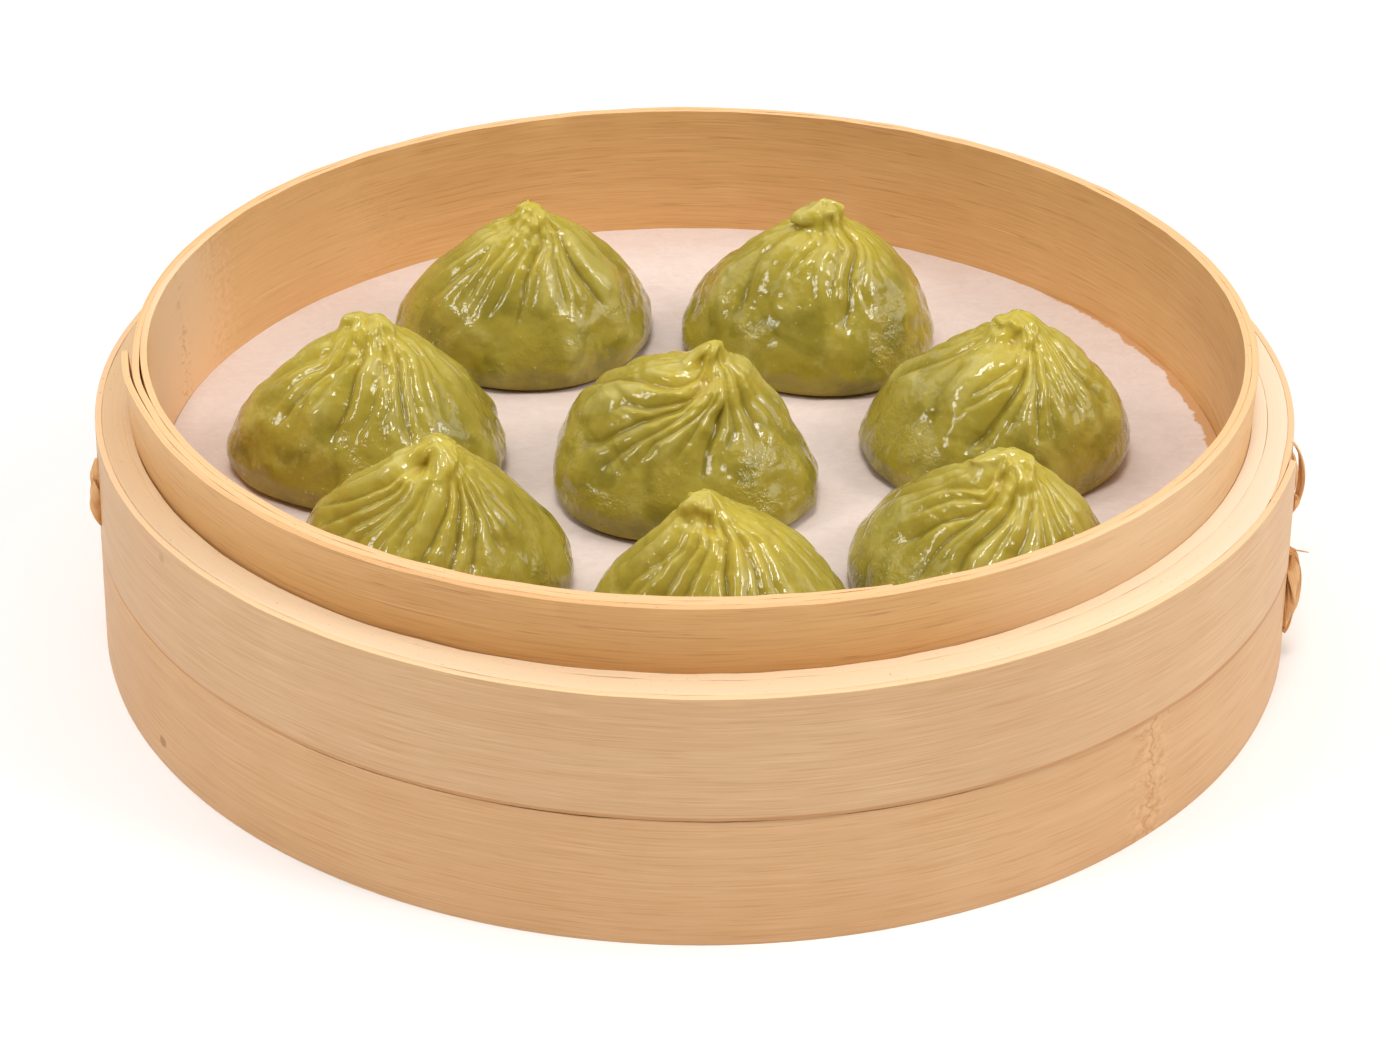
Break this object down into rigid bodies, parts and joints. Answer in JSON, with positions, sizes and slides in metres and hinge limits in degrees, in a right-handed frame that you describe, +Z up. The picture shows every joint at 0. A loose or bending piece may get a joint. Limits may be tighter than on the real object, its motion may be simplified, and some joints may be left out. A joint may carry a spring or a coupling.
{
  "type": "basket of soup dumplings",
  "caption": "Round open bamboo steamer basket with wound hoops, a paper liner and pleated green soup dumplings with twisted top knots.",
  "frame": {"origin": "on the table under the centre of the basket's round wall", "axes": "+Z up; -Y is the front of the basket, opposite the back pair of dumplings; +X is towards the lapped end of the upper wall band and its pair of lashings"},
  "size_m": [0.23, 0.23, 0.0632],
  "materials": {
    "bamboo_inner": "satin honey-coloured bamboo",
    "bamboo_ledge": "pale cut bamboo",
    "bamboo_wall": "satin bamboo with long fine grain",
    "bamboo_floor": "plain bamboo",
    "liner_paper": "soft fibrous white paper, damp",
    "spinach_dough": "wet, glossy green dough",
    "rattan": "dry split rattan"
  },
  "bodies": {
    "root": {"inner_hoop": "bamboo_inner", "spacer_hoop": "bamboo_ledge", "core_hoop": "bamboo_ledge", "wall_band_upper": "bamboo_wall", "wall_band_lower": "bamboo_wall", "floor_rest_hoop": "bamboo_floor", "floor_batten_left": "bamboo_floor", "floor_batten_right": "bamboo_floor", "floor_slat_1": "bamboo_floor", "floor_slat_2": "bamboo_floor", "floor_slat_3": "bamboo_floor", "floor_slat_4": "bamboo_floor", "floor_slat_5": "bamboo_floor", "floor_slat_6": "bamboo_floor", "floor_slat_7": "bamboo_floor", "floor_slat_8": "bamboo_floor", "floor_slat_9": "bamboo_floor", "paper_liner": "liner_paper", "dumpling_back_left": "spinach_dough", "dumpling_back_right": "spinach_dough", "dumpling_left": "spinach_dough", "dumpling_centre": "spinach_dough", "dumpling_front_left": "spinach_dough", "dumpling_right": "spinach_dough", "dumpling_front": "spinach_dough", "dumpling_front_right": "spinach_dough", "lashing_left": "rattan", "lashing_right_upper": "rattan", "lashing_right_lower": "rattan"}
  },
  "joints": []
}
